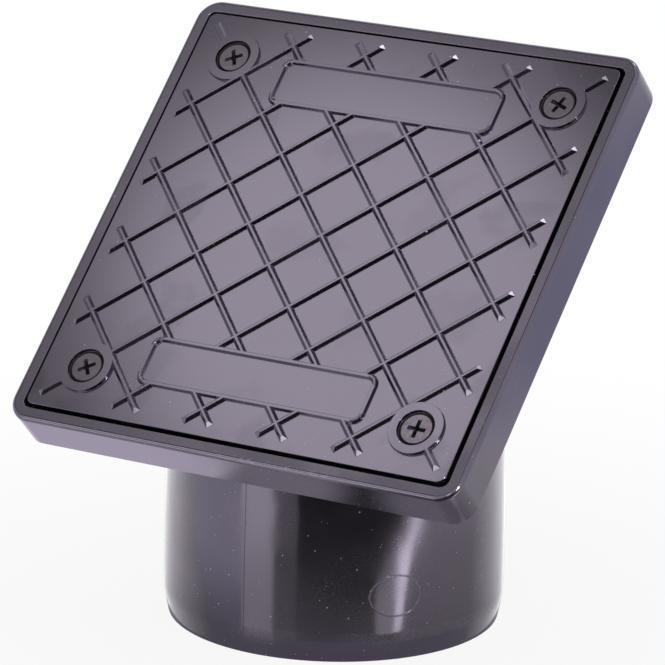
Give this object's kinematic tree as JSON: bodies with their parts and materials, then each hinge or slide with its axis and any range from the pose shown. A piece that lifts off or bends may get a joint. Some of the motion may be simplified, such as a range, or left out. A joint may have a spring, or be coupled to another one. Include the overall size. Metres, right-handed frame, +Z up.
{
  "type": "rodding eye",
  "caption": "Square screw-down drain access cover with raised diamond ribs, in a rimmed frame set at 45 degrees on a round spigot that plugs into an underground drain pipe.",
  "frame": {"origin": "centre of the spigot's lower end, on the spigot's axis", "axes": "+Z up the spigot's axis; the cover faces up and towards -Y at 45 degrees; +X across the cover, to the right as seen from the front"},
  "size_m": [0.164, 0.1262, 0.1832],
  "materials": {
    "body_plastic": "black gloss moulding",
    "cover_plastic": "black gloss moulding",
    "seal_rubber": "matte black rubber",
    "screw_steel": "dark satin coated steel"
  },
  "bodies": {
    "body": {"body": "body_plastic", "cover_seal": "seal_rubber"},
    "cover": {"cover": "cover_plastic"},
    "screw_upper_left": {"cover_screw_upper_left": "screw_steel"},
    "screw_upper_right": {"cover_screw_upper_right": "screw_steel"},
    "screw_lower_left": {"cover_screw_lower_left": "screw_steel"},
    "screw_lower_right": {"cover_screw_lower_right": "screw_steel"}
  },
  "joints": [
    {"name": "cover_lift", "type": "slide", "parent": "body", "child": "cover", "axis": [0, -0.7071, 0.7071], "range_m": [0, 0.05]},
    {"name": "screw_upper_left_out", "type": "slide", "parent": "cover", "child": "screw_upper_left", "axis": [0, -0.7071, 0.7071], "range_m": [0, 0.018]},
    {"name": "screw_upper_right_out", "type": "slide", "parent": "cover", "child": "screw_upper_right", "axis": [0, -0.7071, 0.7071], "range_m": [0, 0.018]},
    {"name": "screw_lower_left_out", "type": "slide", "parent": "cover", "child": "screw_lower_left", "axis": [0, -0.7071, 0.7071], "range_m": [0, 0.018]},
    {"name": "screw_lower_right_out", "type": "slide", "parent": "cover", "child": "screw_lower_right", "axis": [0, -0.7071, 0.7071], "range_m": [0, 0.018]}
  ]
}
